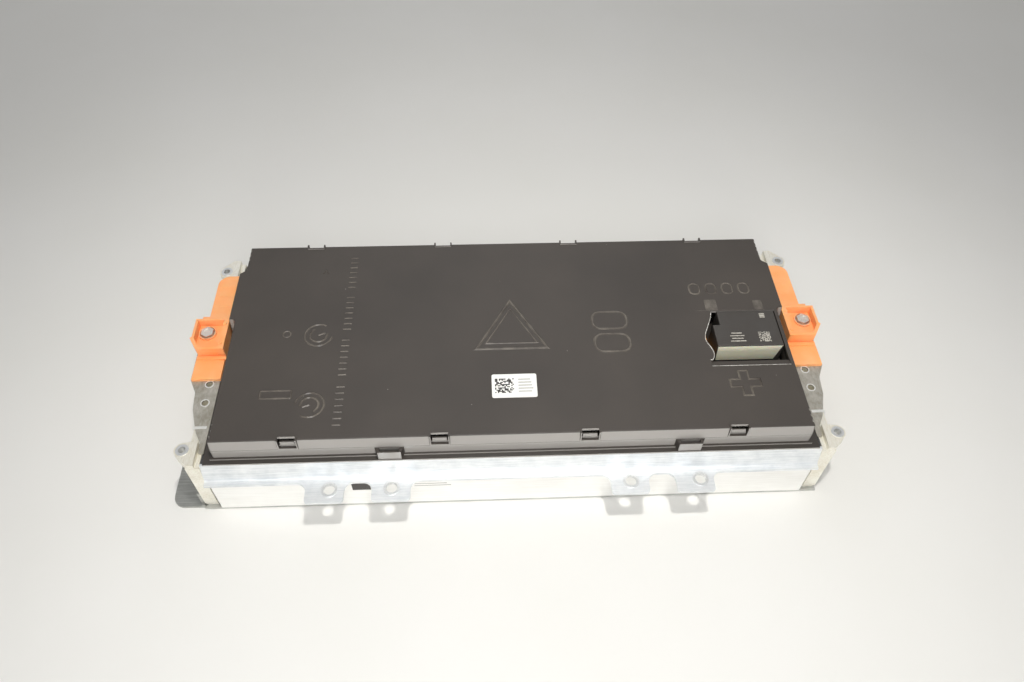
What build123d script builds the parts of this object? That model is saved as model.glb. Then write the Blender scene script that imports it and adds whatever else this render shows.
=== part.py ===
"""Traction battery module: a welded aluminium frame round a stack of prismatic cells,
closed on top by a clip-on plastic cover, with a screw terminal under an orange shroud
at each end.

Frame of the part, in millimetres: the origin is the centre of the underside of the base
plate, +X runs along the cell stack to the positive end, +Y to the rear, +Z up.
"""
from build123d import *
from math import radians, tan
import os

# ------------------------------------------------------------------ driving sizes
# Cell stack
cell_count = 24
cells_in_parallel = 3
cell_thickness = 23.0          # along the stack
cell_width = 256.0             # across the module
can_height = 67.5
can_corner_chamfer = 2.0
cell_terminal_size = 14.0      # along the stack
cell_terminal_width = 30.0     # across the module
cell_terminal_offset = 90.0    # from the middle of the cell
vent_flats = 16.0
vent_rise = 0.6
spacer_thickness = 0.9
spacer_margin = 4.0            # how far a spacer stays inside the can's faces
end_insulator_thickness = 3.0
compression_pad_thickness = 9.6

# Welded frame
base_plate_thickness = 3.0
thermal_pad_thickness = 1.5
rail_thickness = 9.0
rail_wall = 2.0
rail_chambers = 3
side_film_thickness = 0.8
side_film_gap = 0.2
rail_end_gap = 4.0             # open joint between a rail and an end plate
end_plate_thickness = 13.0
end_plate_setback = 4.0        # end plate's edge behind the outer face of the rails
end_plate_bottom_chamfer = 3.0
carrier_gap = 2.0              # vent space between the cans and the carrier
ear_offset_x = 4.0             # ear hole outside the end plate's outer face
ear_offset_y = 17.0            # ear hole inside the end plate's edge
ear_radius = 8.0
ear_rise = 6.0                 # ear above the end plate's top
ear_thickness = 12.0
ear_root_length = 26.0         # along the end plate
ear_root_width = 7.0
ear_bore_radius = 3.4
ear_bush_wall = 1.6
ear_collar_rise = 0.6
ear_collar_width = 1.2

# Front bracket: an upright leg and a flange with four tabs
flange_height = 50.0           # underside of the flange above the floor
flange_thickness = 3.0
flange_overhang = 3.5          # beyond the front rail
leg_thickness = 2.5
leg_foot_setback = 2.0         # foot of the leg behind the front rail's face
leg_top_setback = 6.4
bend_radius = 2.0
tab_reach = 24.5               # beyond the front rail
tab_width = 37.0
tab_hole_reach = 11.0
tab_holes_x = (-178.5, -119.0, 112.0, 180.0)
tab_middles_x = (-183.0, -119.5, 111.0, 174.5)
tab_root_radius = 9.0
tab_tip_radius = 3.5
tab_bore_radius = 5.5
tab_bush_wall = 1.4
tab_collar_width = 0.9
tab_collar_rise = 1.2

# Foot plate at the negative end
foot_reach = 33.0
foot_length = 60.0
foot_corner_radius = 13.0
foot_thickness = 3.0
foot_leg_height = 25.0
foot_edge_setback = 2.0

# Plastic carrier and cover, which share one outline
shell_half_length = 287.0
shell_front = 125.0            # from the middle of the module to the front face
shell_rear = 133.0
bump_depth = 6.5               # where the terminal busbars come out
bump_start = 25.0
bump_end = 98.0
bump_chamfer = 5.0
shell_wall = 2.2
shell_corner_radius = 2.5
parting_height = 89.0
module_height = 103.0
cover_top = 2.2
cover_taper = 7.0              # degrees
cover_edge_bevel = 0.9
parting_gap = 0.3
carrier_floor = 2.0
carrier_flange_thickness = 2.0
carrier_flange_margin_x = 3.0  # flange end inside the end plates
carrier_flange_rear = 135.0
ledge_depth = 2.2
ledge_height = 2.0
lip_height = 4.0
lip_wall = 1.6
lip_gap = 0.3                  # to the cover, where the lip ends
terminal_window_gap = 1.0
carrier_rib_height = 3.0
carrier_rib_thickness = 1.6

# Snaps that hold the cover on the carrier
snap_pitch = 142.0
snap_count = 4
snap_window_width = 16.5
snap_rim_width = 1.6
snap_rim_rise = 1.0
snap_window_depth = 4.5        # how far the window runs back into the top
snap_window_sill = 1.6         # skirt left under the window
snap_tongue_gap = 1.5
snap_tongue_thickness = 1.6
snap_tongue_rise = 9.5
snap_barb = 1.2

# Cable hooks on the carrier's front wall
pocket_middles_x = (-119.0, 168.0)
pocket_width = 28.0
pocket_slant = 3.0
pocket_depth = 5.8
pocket_height = 12.0
pocket_wall = 1.6
pocket_slot_depth = 7.0

# Notches beside the cover's corners
notch_count = 3
notch_pitch = 6.5
notch_width = 2.6
notch_depth = 1.4
notch_first = 7.0              # from the corner

# Monitoring unit and its connector header, in a well in the cover
unit_left = 212.0
unit_right = 280.5
unit_front = -25.0
unit_rear = 21.5
unit_rise = 0.4                # above the cover
unit_notch = 7.5               # stepped rear left corner
unit_notch_length = 18.0
unit_corner_radius = 1.2
header_depth = 12.0
header_side_margin = 0.6
header_top_margin = 1.6
header_height = 22.0
header_taper = 5.0             # narrower at the bottom, each side
well_gap = 0.8
well_left = 201.0
well_front = -43.0
well_ramp = 7.0                # chamfered front edge of the well
well_ramp_drop = 1.9
well_wave = 12.5               # how far the torn left edge swings

# Busbars and sensing circuit
busbar_thickness = 2.0
busbar_width = 34.0
busbar_gap = 8.0                # between busbars in one row
busbar_bridge_rise = 1.2       # arched expansion bridge in the middle of a busbar
busbar_bridge_length = 8.0
terminal_bar_thickness = 3.0
terminal_bar_width = 15.0
terminal_bar_margin = 2.0      # between the end plate's inner face and the run along the end
circuit_width = 34.0
circuit_thickness = 0.8
circuit_finger_width = 5.0
circuit_margin = 0.3

# Screw terminals and orange shrouds
terminal_x = 319.0
terminal_y = 25.0
bolt_radius = 4.0
bolt_head_flats = 12.0
bolt_head_height = 5.0
bolt_washer_radius = 7.5
bolt_washer_thickness = 1.2
bolt_length = 18.0
nut_flats = 13.0
nut_height = 6.5
end_sheet_thickness = 1.5
shroud_wall = 1.8
shroud_gap = 0.5               # round the busbar
shroud_inner_x = 296.0
arm_outer_x = 319.5
arm_end_y = 104.0
arm_height = 10.5
arm_end_radius = 12.0
shoulder_outer_x = 326.5
shoulder_y = 45.0
well_outer_x = 333.0
well_rear_y = 38.0
well_front_y = -3.0
well_height = 15.5
well_flare_y = 12.0
tray_outer_x = 325.5
tray_front_y = -33.0
tray_height = 3.5
tray_ridge_width = 3.0
tray_ridge_rise = 2.5
shroud_tab_length = 9.0
shroud_tab_width = 6.0
shroud_floor = 1.6
floor_hole_radius = 9.0
terminal_block_width = 22.0
terminal_block_clearance = 0.4

# Grey end sheets
sheet_inner_x = 297.0
sheet_rear_y = 100.0
sheet_tail_width = 5.0
sheet_tail_y = -119.0
sheet_hole_radius = 3.4
sheet_holes_y = (-37.0, -60.0)
sheet_hole_x = 307.0
sheet_hole_depth = 12.0

# ------------------------------------------------------------------ worked-out places
pitch = cell_thickness + spacer_thickness
stack_half = (cell_count * pitch - spacer_thickness) / 2
pad_start = stack_half + end_insulator_thickness
end_inner = pad_start + compression_pad_thickness
end_outer = end_inner + end_plate_thickness
rail_inner = cell_width / 2 + side_film_thickness + side_film_gap
rail_outer = rail_inner + rail_thickness
rail_half = end_inner - rail_end_gap
end_edge = rail_outer - end_plate_setback
can_bottom = base_plate_thickness + thermal_pad_thickness
can_top = can_bottom + can_height
frame_top = can_top + carrier_gap
busbar_seat = frame_top + carrier_floor
busbar_top = busbar_seat + busbar_thickness
cover_inside = module_height - cover_top
ear_x = end_outer + ear_offset_x
ear_y = end_edge - ear_offset_y
ear_top = frame_top + ear_rise
flange_front = -(rail_outer + flange_overhang)
tab_front = -(rail_outer + tab_reach)
tab_hole_y = -(rail_outer + tab_hole_reach)
group_count = cell_count // cells_in_parallel
group_length = cells_in_parallel * pitch
sheet_top = frame_top + end_sheet_thickness
terminal_bar_top = busbar_seat + terminal_bar_thickness
arm_bar_x = end_inner + terminal_bar_margin
shroud_base = sheet_top
snap_places = [(i - (snap_count - 1) / 2) * snap_pitch for i in range(snap_count)]


# ------------------------------------------------------------------ small helpers
def box(x0, x1, y0, y1, z0, z1):
    """A box between two opposite corners."""
    return Pos((x0 + x1) / 2, (y0 + y1) / 2, (z0 + z1) / 2) * Box(x1 - x0, y1 - y0, z1 - z0)


def plate(points, z0, z1, radius=0):
    """A plan outline raised from z0 to z1, with its corners rounded."""
    face = make_face(Polyline(*points, close=True))
    if radius:
        face = fillet(face.vertices(), radius)
    return Pos(0, 0, z0) * extrude(face, z1 - z0)


def run(points, half_length):
    """A section given as (y, z) points, run along X to both sides."""
    face = make_face(Plane.YZ * Polyline(*points, close=True))
    return extrude(face, half_length, both=True, dir=(1, 0, 0))


def rod(x, y, radius, z0, z1):
    return Pos(x, y, (z0 + z1) / 2) * Cylinder(radius, z1 - z0)


def ring(x, y, outer, bore, z0, z1):
    return rod(x, y, outer, z0, z1) - rod(x, y, bore, z0, z1)


def hexagon(x, y, flats, z0, z1):
    face = Rot(0, 0, 30) * RegularPolygon(flats / 2, 6, major_radius=False)
    return Pos(x, y, z0) * extrude(face, z1 - z0)


def other_side(part):
    """The same piece at the negative end."""
    return mirror(part, about=Plane.YZ)


def rounded_upright(part, radius):
    return fillet(part.edges().filter_by(Axis.Z), radius)


def shell_outline(inset):
    """Plan outline that the carrier and the cover share, moved in by an inset."""
    side = shell_half_length - inset
    bump = side + bump_depth
    front, rear = -(shell_front - inset), shell_rear - inset
    start, end = bump_start + inset, bump_end - inset
    half = [
        (side, front), (side, start), (bump, start), (bump, end - bump_chamfer),
        (side, end), (side, rear),
    ]
    return half + [(-x, y) for x, y in reversed(half)]


def cell_middle(index):
    return -stack_half + cell_thickness / 2 + index * pitch


# ------------------------------------------------------------------ cell stack
def cell(index):
    """A prismatic can with two terminals that reach the busbars, and a vent between them."""
    x = cell_middle(index)
    half = cell_thickness / 2
    can = box(x - half, x + half, -cell_width / 2, cell_width / 2, can_bottom, can_top)
    can = chamfer(can.edges().filter_by(Axis.Z), can_corner_chamfer)
    for y in (-cell_terminal_offset, cell_terminal_offset):
        can += box(
            x - cell_terminal_size / 2, x + cell_terminal_size / 2,
            y - cell_terminal_width / 2, y + cell_terminal_width / 2, can_top, busbar_seat,
        )
    return can + hexagon(x, 0, vent_flats, can_top, can_top + vent_rise)


def cell_spacers():
    """An insulating sheet between each two cells."""
    sheets = []
    for index in range(cell_count - 1):
        x = cell_middle(index) + cell_thickness / 2
        sheets.append(box(
            x, x + spacer_thickness, -cell_width / 2 + spacer_margin,
            cell_width / 2 - spacer_margin, can_bottom, can_top - spacer_margin,
        ))
    return Compound(children=sheets)


def end_insulators():
    """Plastic plates against the outer faces of the first and last cans."""
    sheet = box(
        stack_half, pad_start, -cell_width / 2, cell_width / 2, base_plate_thickness, can_top,
    )
    return Compound(children=[sheet, other_side(sheet)])


def compression_pads():
    """Foam pads between the insulators and the end plates, which keep the stack pressed."""
    pad = box(pad_start, end_inner, -cell_width / 2, cell_width / 2, base_plate_thickness, can_top)
    return Compound(children=[pad, other_side(pad)])


def side_film(side):
    """Insulating film between the cans' narrow faces and a rail."""
    edge = cell_width / 2
    y0, y1 = sorted((side * edge, side * (edge + side_film_thickness)))
    return box(-stack_half, stack_half, y0, y1, base_plate_thickness, can_top)


# ------------------------------------------------------------------ welded frame
def base_plate():
    plate_ = box(-end_outer, end_outer, -rail_outer, rail_outer, 0, base_plate_thickness)
    return chamfer(
        plate_.faces().sort_by(Axis.Z)[0].edges().filter_by(Axis.X), base_plate_thickness / 4,
    )


def thermal_pad():
    return box(
        -stack_half, stack_half, -cell_width / 2, cell_width / 2, base_plate_thickness, can_bottom,
    )


def rail(side, top):
    """Hollow extruded side rail, with its chambers one above the other."""
    y0, y1 = sorted((side * rail_inner, side * rail_outer))
    body = box(-rail_half, rail_half, y0, y1, base_plate_thickness, top)
    chamber = (top - base_plate_thickness - rail_wall) / rail_chambers - rail_wall
    for index in range(rail_chambers):
        z = base_plate_thickness + rail_wall + index * (chamber + rail_wall)
        body -= box(-rail_half, rail_half, y0 + rail_wall, y1 - rail_wall, z, z + chamber)
    return body


def ear(side):
    """Mounting ear that leans out from the end plate's upper corner."""
    root_x = sheet_inner_x + sheet_tail_width + 1 + ear_root_width / 2
    root = Pos(root_x, side * (end_edge - ear_root_length / 2)) * Rectangle(
        ear_root_width, ear_root_length,
    )
    head = Pos(ear_x, side * ear_y) * Circle(ear_radius)
    outline = make_hull(root.edges() + head.edges())
    return Pos(0, 0, ear_top - ear_thickness) * extrude(outline, ear_thickness)


def end_plate():
    """Thick end plate with two mounting ears and tapped holes in its top."""
    body = box(end_inner, end_outer, -end_edge, end_edge, base_plate_thickness, frame_top)
    bottom_edge = body.edges().filter_by(Axis.Y).group_by(Axis.Z)[0].sort_by(Axis.X)[-1]
    body = chamfer(bottom_edge, end_plate_bottom_chamfer)
    for side in (-1, 1):
        body += ear(side)
    for side in (-1, 1):
        body -= rod(
            ear_x, side * ear_y, ear_bore_radius + ear_bush_wall, ear_top - ear_thickness, ear_top,
        )
    for y in sheet_holes_y:
        body -= rod(sheet_hole_x, y, sheet_hole_radius, frame_top - sheet_hole_depth, frame_top)
    return body


def ear_bushes():
    """Steel bushes pressed into the four ears, each with a thin collar on top."""
    wall = ear_bore_radius + ear_bush_wall
    bushes = []
    for x in (-ear_x, ear_x):
        for y in (-ear_y, ear_y):
            bush = ring(x, y, wall, ear_bore_radius, ear_top - ear_thickness, ear_top)
            collar = ring(
                x, y, wall + ear_collar_width, ear_bore_radius, ear_top, ear_top + ear_collar_rise,
            )
            bushes.append(bush + collar)
    return Compound(children=bushes)


def front_bracket():
    """Folded bracket: a leg that leans against the carrier and a flange with four tabs."""
    foot = -(rail_outer - leg_foot_setback)
    top = -(rail_outer - leg_top_setback)
    flange_top = flange_height + flange_thickness
    section = [
        (flange_front, flange_height), (foot + leg_thickness, flange_height),
        (top + leg_thickness, frame_top), (top, frame_top), (foot, flange_top),
        (flange_front, flange_top),
    ]
    body = run(section, end_inner)
    inner_bend = body.edges().filter_by(Axis.X).sort_by(lambda e: abs(e.center().Y - foot)
                                                        + abs(e.center().Z - flange_top))[0]
    body = fillet(inner_bend, bend_radius)
    outline = Rectangle(2 * end_inner, flange_overhang)
    outline = Pos(0, flange_front + flange_overhang / 2) * outline
    for x in tab_middles_x:
        outline += Pos(x, (tab_front + flange_front) / 2) * Rectangle(
            tab_width, flange_front - tab_front,
        )
    roots = [v for v in outline.vertices()
             if abs(v.Y - flange_front) < 0.01 and abs(v.X) < end_inner - 1]
    tips = [v for v in outline.vertices() if abs(v.Y - tab_front) < 0.01]
    outline = fillet(roots, tab_root_radius)
    tips = [v for v in outline.vertices() if abs(v.Y - tab_front) < 0.01]
    outline = fillet(tips, tab_tip_radius)
    body += Pos(0, 0, flange_height) * extrude(outline, flange_thickness)
    for x in tab_holes_x:
        body -= rod(x, tab_hole_y, tab_bore_radius + tab_bush_wall, flange_height, flange_top)
    return body


def tab_bushes():
    """Collared bushes in the four tabs."""
    wall = tab_bore_radius + tab_bush_wall
    flange_top = flange_height + flange_thickness
    bushes = []
    for x in tab_holes_x:
        bush = ring(x, tab_hole_y, wall, tab_bore_radius, flange_height, flange_top)
        bush += ring(
            x, tab_hole_y, wall + tab_collar_width, tab_bore_radius, flange_top,
            flange_top + tab_collar_rise,
        )
        bushes.append(bush)
    return Compound(children=bushes)


def foot():
    """Angle foot on the floor outside the negative end plate."""
    front = -(rail_outer - foot_edge_setback)
    x0, x1 = -(end_outer + foot_reach), -end_outer
    pad = box(x0, x1, front, front + foot_length, 0, foot_thickness)
    pad = fillet(pad.edges().filter_by(Axis.Z).sort_by(Axis.X)[:2], foot_corner_radius)
    return pad + box(
        x1 - foot_thickness, x1, -end_edge, front + foot_length,
        base_plate_thickness + end_plate_bottom_chamfer, foot_leg_height,
    ) + box(x1 - foot_thickness, x1, front, front + foot_length, foot_thickness,
            base_plate_thickness + end_plate_bottom_chamfer)


# ------------------------------------------------------------------ carrier and busbars
def snap_tongue(x, side):
    """Barbed tongue on the carrier that catches in a window of the cover."""
    width = snap_window_width - 2 * snap_tongue_gap
    face = shell_front if side < 0 else shell_rear
    inner = face - shell_wall - lip_gap
    top = parting_height + snap_tongue_rise
    points = [
        (inner - snap_tongue_thickness, parting_height - lip_height), (inner, parting_height),
        (inner, top - 3), (inner + snap_barb, top - 3), (inner, top),
        (inner - snap_tongue_thickness, top),
    ]
    section = make_face(Plane.YZ * Polyline(*[(side * y, z) for y, z in points], close=True))
    return Pos(x, 0, 0) * extrude(section, width / 2, both=True, dir=(1, 0, 0))


def hook_pocket(x):
    """Open-topped pocket with slanted sides on the carrier's front wall."""
    half, slant = pocket_width / 2, pocket_slant
    top = frame_top + carrier_flange_thickness + pocket_height
    wall_face = -shell_front
    points = [(x - half, wall_face), (x + half, wall_face),
              (x + half - slant, wall_face - pocket_depth), (x - half + slant, wall_face - pocket_depth)]
    inner = half - pocket_wall - slant
    slot = box(x - inner, x + inner, wall_face - pocket_depth + pocket_wall, wall_face - pocket_wall / 2,
               top - pocket_slot_depth, top)
    return plate(points, frame_top, top) - slot


def carrier():
    """Moulded tray that frames the cell tops: floor, wall, rim and snap tongues."""
    flange_half = end_inner - carrier_flange_margin_x
    top = -(rail_outer - leg_top_setback)
    body = box(-flange_half, flange_half, top, carrier_flange_rear, frame_top,
               frame_top + carrier_flange_thickness)
    ledge = frame_top + carrier_flange_thickness + ledge_height
    body += plate(shell_outline(-ledge_depth + 0.2), frame_top, ledge)
    body += plate(shell_outline(0), frame_top, parting_height, shell_corner_radius)
    body -= plate(shell_outline(shell_wall), busbar_seat, parting_height)
    lip_outer = shell_wall + lip_gap + lip_height * tan(radians(cover_taper))
    lip = plate(shell_outline(lip_outer), parting_height - lip_height, parting_height + lip_height)
    lip -= plate(shell_outline(lip_outer + lip_wall), parting_height - lip_height,
                 parting_height + lip_height)
    bridge = plate(shell_outline(shell_wall), parting_height - lip_height, parting_height - lip_height / 2)
    bridge -= plate(shell_outline(lip_outer + lip_wall), parting_height - lip_height,
                    parting_height - lip_height / 2)
    body += lip + bridge
    for x in pocket_middles_x:
        body += hook_pocket(x)
    for side in (-1, 1):
        for x in snap_places:
            body += snap_tongue(x, side)
    window = cell_terminal_width / 2 + terminal_window_gap
    for index in range(cell_count):
        x = cell_middle(index)
        half = cell_terminal_size / 2 + terminal_window_gap
        for y in (-cell_terminal_offset, cell_terminal_offset):
            body -= box(x - half, x + half, y - window, y + window, frame_top, busbar_seat)
    return body - bar_passages()


def bar_passages():
    """Slots in the bumps of the wall where the terminal busbars come out."""
    y0, y1 = terminal_bar_span()
    passage = box(
        shell_half_length - 2 * shell_wall, end_inner, y0 - shroud_gap, y1 + shroud_gap,
        busbar_seat, terminal_bar_top + shroud_gap,
    )
    return passage + other_side(passage)


def terminal_bar_span():
    """Edges, across the module, of the terminal busbars where they lie on the cells."""
    return (cell_terminal_offset - busbar_width / 2, bump_end - bump_chamfer - shell_wall - 1)


def series_busbar(index):
    """Busbar from one parallel group to the next, on alternate sides, with an arched bridge."""
    side = -1 if index % 2 == 0 else 1
    joint = -stack_half - spacer_thickness / 2 + (index + 1) * group_length
    half = group_length - busbar_gap / 2
    y0 = side * cell_terminal_offset - busbar_width / 2
    y1 = y0 + busbar_width
    arch, rise = busbar_bridge_length / 2, busbar_bridge_rise
    section = [
        (joint - half, busbar_seat), (joint - arch, busbar_seat),
        (joint - arch / 2, busbar_seat + rise), (joint + arch / 2, busbar_seat + rise),
        (joint + arch, busbar_seat), (joint + half, busbar_seat), (joint + half, busbar_top),
        (joint + arch, busbar_top), (joint + arch / 2, busbar_top + rise),
        (joint - arch / 2, busbar_top + rise), (joint - arch, busbar_top),
        (joint - half, busbar_top),
    ]
    face = make_face(Plane.XZ * Polyline(*section, close=True))
    return Pos(0, y1, 0) * extrude(face, busbar_width, dir=(0, -1, 0))


def terminal_busbar():
    """Busbar from the last group, out through the wall and along the end to the terminal."""
    y0, y1 = terminal_bar_span()
    group_inner = stack_half - group_length + spacer_thickness + busbar_gap / 2
    outer = arm_bar_x + terminal_bar_width
    pad = bolt_washer_radius + shroud_gap
    points = [
        (group_inner, y0), (arm_bar_x, y0), (arm_bar_x, terminal_y - pad),
        (terminal_x + pad, terminal_y - pad), (terminal_x + pad, terminal_y + pad),
        (outer, terminal_y + pad + 5), (outer, y1), (group_inner, y1),
    ]
    bar = plate(points, busbar_seat, terminal_bar_top)
    return bar - rod(terminal_x, terminal_y, bolt_radius, busbar_seat, terminal_bar_top)


def sensing_circuit():
    """Printed circuit along the middle of the carrier, with a finger to each busbar."""
    half = circuit_width / 2
    left = -stack_half + group_length / 2
    right = unit_left - circuit_margin
    reach = cell_terminal_offset - busbar_width / 2 - circuit_margin
    top = busbar_seat + circuit_thickness
    body = box(left, right, -half, half, busbar_seat, top)
    for index in range(group_count - 1):
        side = -1 if index % 2 == 0 else 1
        x = -stack_half + (index + 1) * group_length - 2 * circuit_finger_width
        if x + circuit_finger_width < right:
            y0, y1 = sorted((side * half, side * reach))
            body += box(x, x + circuit_finger_width, y0, y1, busbar_seat, top)
    return body


# ------------------------------------------------------------------ monitoring unit
def unit_plan(grow):
    """Plan outline of the monitoring unit, with its stepped rear left corner."""
    x0, x1 = unit_left - grow, unit_right + grow
    y0, y1 = unit_front - grow, unit_rear + grow
    return [
        (x0, y0), (x1, y0), (x1, y1), (x0 + unit_notch, y1),
        (x0 + unit_notch, y1 - unit_notch_length), (x0, y1 - unit_notch_length),
    ]


def header_section(grow):
    """Front view of the connector header: wider at the top, as (x, z) points."""
    x0 = unit_left + header_side_margin - grow
    x1 = unit_right - header_side_margin + grow
    z1 = module_height + unit_rise - header_top_margin + grow
    z0 = z1 - header_height - 2 * grow
    return [(x0 + header_taper / 4, z0), (x1 - header_taper, z0), (x1, z1), (x0, z1)]


def header_block(grow):
    face = make_face(Plane.XZ * Polyline(*header_section(grow), close=True))
    block = extrude(face, header_depth + grow, dir=(0, 1, 0))
    return Pos(0, unit_front, 0) * block


def monitoring_unit():
    """Closed electronics housing, open at the front for the header."""
    top = module_height + unit_rise
    body = plate(unit_plan(0), busbar_seat, top)
    body = fillet(body.edges().group_by(Axis.Z)[-1], unit_corner_radius)
    return body - header_block(0)


def connector_header():
    return header_block(0)


# ------------------------------------------------------------------ cover
def well_outline():
    """Opening in the cover over the monitoring unit, with its torn left edge."""
    right, rear = unit_right + well_gap, unit_rear + well_gap
    left = well_left
    torn = Spline(
        (left + well_wave, rear), (left + well_wave - 4, rear - 14), (left + 3, rear - 26),
        (left, rear - 38), (left + 4, rear - 50), (left + 1.5, well_front),
    )
    straight = Polyline((left + 1.5, well_front), (right, well_front), (right, rear),
                        (left + well_wave, rear))
    return make_face(torn.edges() + straight.edges())


def snap_rim(x, side):
    """Raised rim round a snap window, over the cover's upper edge."""
    half = snap_window_width / 2 + snap_rim_width
    face = shell_front if side < 0 else shell_rear
    outer = face + 0.2
    y0, y1 = sorted((side * outer, side * (face - snap_window_depth - snap_rim_width)))
    rim = box(x - half, x + half, y0, y1, parting_height + parting_gap, module_height + snap_rim_rise)
    return chamfer(rim.edges().filter_by(Axis.Z), snap_rim_width / 3)


def snap_window(x, side):
    half = snap_window_width / 2
    face = shell_front if side < 0 else shell_rear
    y0, y1 = sorted((side * (face + 2), side * (face - snap_window_depth)))
    return box(x - half, x + half, y0, y1, parting_height + parting_gap + snap_window_sill,
               module_height + 2 * snap_rim_rise)


def corner_notches(side_x, side_y):
    """Small slots in the cover's side, beside one corner."""
    edge = shell_front if side_y < 0 else shell_rear
    cuts = []
    for index in range(notch_count):
        y = side_y * (edge - notch_first - index * notch_pitch)
        x0, x1 = sorted((side_x * (shell_half_length - notch_depth - 1.7),
                         side_x * (shell_half_length + 1)))
        cuts.append(box(x0, x1, y - notch_width / 2, y + notch_width / 2,
                        parting_height + 2 * shell_wall, module_height + 1))
    return cuts


def top_cover():
    """Drafted cover with a deep skirt, snap windows, corner notches and the well."""
    bottom = parting_height + parting_gap
    height = module_height - bottom
    outer = make_face(Polyline(*shell_outline(0), close=True))
    outer = fillet(outer.vertices(), shell_corner_radius)
    body = Pos(0, 0, bottom) * extrude(outer, height - cover_edge_bevel, taper=cover_taper)
    body += extrude(body.faces().sort_by(Axis.Z)[-1], cover_edge_bevel, taper=45)
    inner = make_face(Polyline(*shell_outline(shell_wall), close=True))
    body -= Pos(0, 0, bottom) * extrude(inner, height - cover_top, taper=cover_taper)
    for side in (-1, 1):
        for x in snap_places:
            body += snap_rim(x, side) - inner_room(side)
    for side in (-1, 1):
        for x in snap_places:
            body -= snap_window(x, side)
    for side_x in (-1, 1):
        for side_y in (-1, 1):
            for cut in corner_notches(side_x, side_y):
                body -= cut
    opening = Pos(0, 0, cover_inside - 1) * extrude(well_outline(), cover_top + 3)
    ramp_right = unit_right + well_gap
    ramp = make_face(Plane.YZ * Polyline(
        (well_front + 1, module_height + 1), (well_front + 1, module_height - well_ramp_drop),
        (well_front, module_height - well_ramp_drop), (well_front - well_ramp, module_height),
        (well_front - well_ramp, module_height + 1), close=True))
    ramp = Pos(well_left, 0, 0) * extrude(ramp, ramp_right - well_left, dir=(1, 0, 0))
    return body - opening - ramp


def inner_room(side):
    """Room inside the skirt that a snap rim must leave free."""
    inner = make_face(Polyline(*shell_outline(shell_wall), close=True))
    bottom = parting_height + parting_gap
    return Pos(0, 0, bottom) * extrude(inner, cover_inside - bottom, taper=cover_taper)


# ------------------------------------------------------------------ terminals and ends
def terminal_shroud():
    """One moulded shroud: arm over the busbar, screw well, tray and the block for the nut."""
    wall, base = shroud_wall, shroud_base
    inner = shroud_inner_x
    arm = box(inner, arm_outer_x, shoulder_y - 1, arm_end_y, base, base + arm_height)
    arm = fillet(arm.edges().filter_by(Axis.Z).sort_by(Axis.Y)[-2:].sort_by(Axis.X)[-1],
                 arm_end_radius)
    shoulder = box(inner, shoulder_outer_x, well_rear_y - 1, shoulder_y, base, base + arm_height)
    well = plate(
        [(inner, well_front_y), (tray_outer_x - wall, well_front_y), (well_outer_x, well_flare_y),
         (well_outer_x - wall, well_flare_y + 2), (well_outer_x - wall, well_rear_y),
         (inner, well_rear_y)],
        base, base + well_height)
    tray = box(inner, tray_outer_x, tray_front_y, well_front_y + 1, base, base + tray_height)
    ridge_y = well_front_y - 2 * tray_ridge_width
    ridge = box(inner - wall, tray_outer_x - wall, ridge_y, ridge_y + tray_ridge_width,
                base + tray_height, base + tray_height + tray_ridge_rise)
    body = arm + shoulder + well + tray + ridge
    # screw well: open above, with a floor round the screw head
    floor_top = terminal_bar_top + shroud_gap + shroud_floor
    body -= plate(
        [(inner + 3 * wall, well_front_y + 2 * wall), (tray_outer_x - 2 * wall, well_front_y + 2 * wall),
         (well_outer_x - 2.4 * wall, well_flare_y), (well_outer_x - 2.4 * wall, well_rear_y - wall),
         (inner + 3 * wall, well_rear_y - wall)],
        floor_top, base + well_height)
    body -= rod(terminal_x, terminal_y, floor_hole_radius, base, floor_top)
    # channel for the busbar, open below and towards the module
    y0, y1 = terminal_bar_span()
    gap = shroud_gap
    pad = bolt_washer_radius + gap
    channel = plate(
        [(inner - 1, y0 - gap), (arm_bar_x - gap, y0 - gap), (arm_bar_x - gap, terminal_y - pad - gap),
         (terminal_x + pad + gap, terminal_y - pad - gap),
         (terminal_x + pad + gap, terminal_y + pad + gap),
         (arm_bar_x + terminal_bar_width + gap, terminal_y + pad + 5 + gap),
         (arm_bar_x + terminal_bar_width + gap, y1 + gap), (inner - 1, y1 + gap)],
        base, terminal_bar_top + gap)
    body -= channel
    # block outside the end plate that holds the nut
    half = terminal_block_width / 2
    block = box(end_outer + terminal_block_clearance, tray_outer_x + wall, terminal_y - half,
                terminal_y + half, busbar_seat - bolt_length, base)
    block = rounded_upright(block, wall)
    block += box(arm_bar_x + wall, tray_outer_x + wall, terminal_y - half, terminal_y + half,
                 base, busbar_seat)
    block -= nut_room()
    return body + block


def nut_room():
    room = hexagon(terminal_x, terminal_y, nut_flats, busbar_seat - nut_height, busbar_seat)
    return room + rod(terminal_x, terminal_y, bolt_radius, busbar_seat - bolt_length + shroud_wall,
                      busbar_seat)


def terminal_nut():
    nut = hexagon(terminal_x, terminal_y, nut_flats, busbar_seat - nut_height, busbar_seat)
    return nut - rod(terminal_x, terminal_y, bolt_radius, busbar_seat - nut_height, busbar_seat)


def terminal_bolt():
    """Hexagon screw with a washer face and a dished head."""
    washer_top = terminal_bar_top + bolt_washer_thickness
    head_top = washer_top + bolt_head_height
    bolt = rod(terminal_x, terminal_y, bolt_radius, terminal_bar_top - 0.7 * bolt_length,
               terminal_bar_top)
    bolt += rod(terminal_x, terminal_y, bolt_washer_radius, terminal_bar_top, washer_top)
    head = hexagon(terminal_x, terminal_y, bolt_head_flats, washer_top, head_top)
    head -= rod(terminal_x, terminal_y, bolt_radius, head_top - 1, head_top)
    return bolt + head


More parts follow.
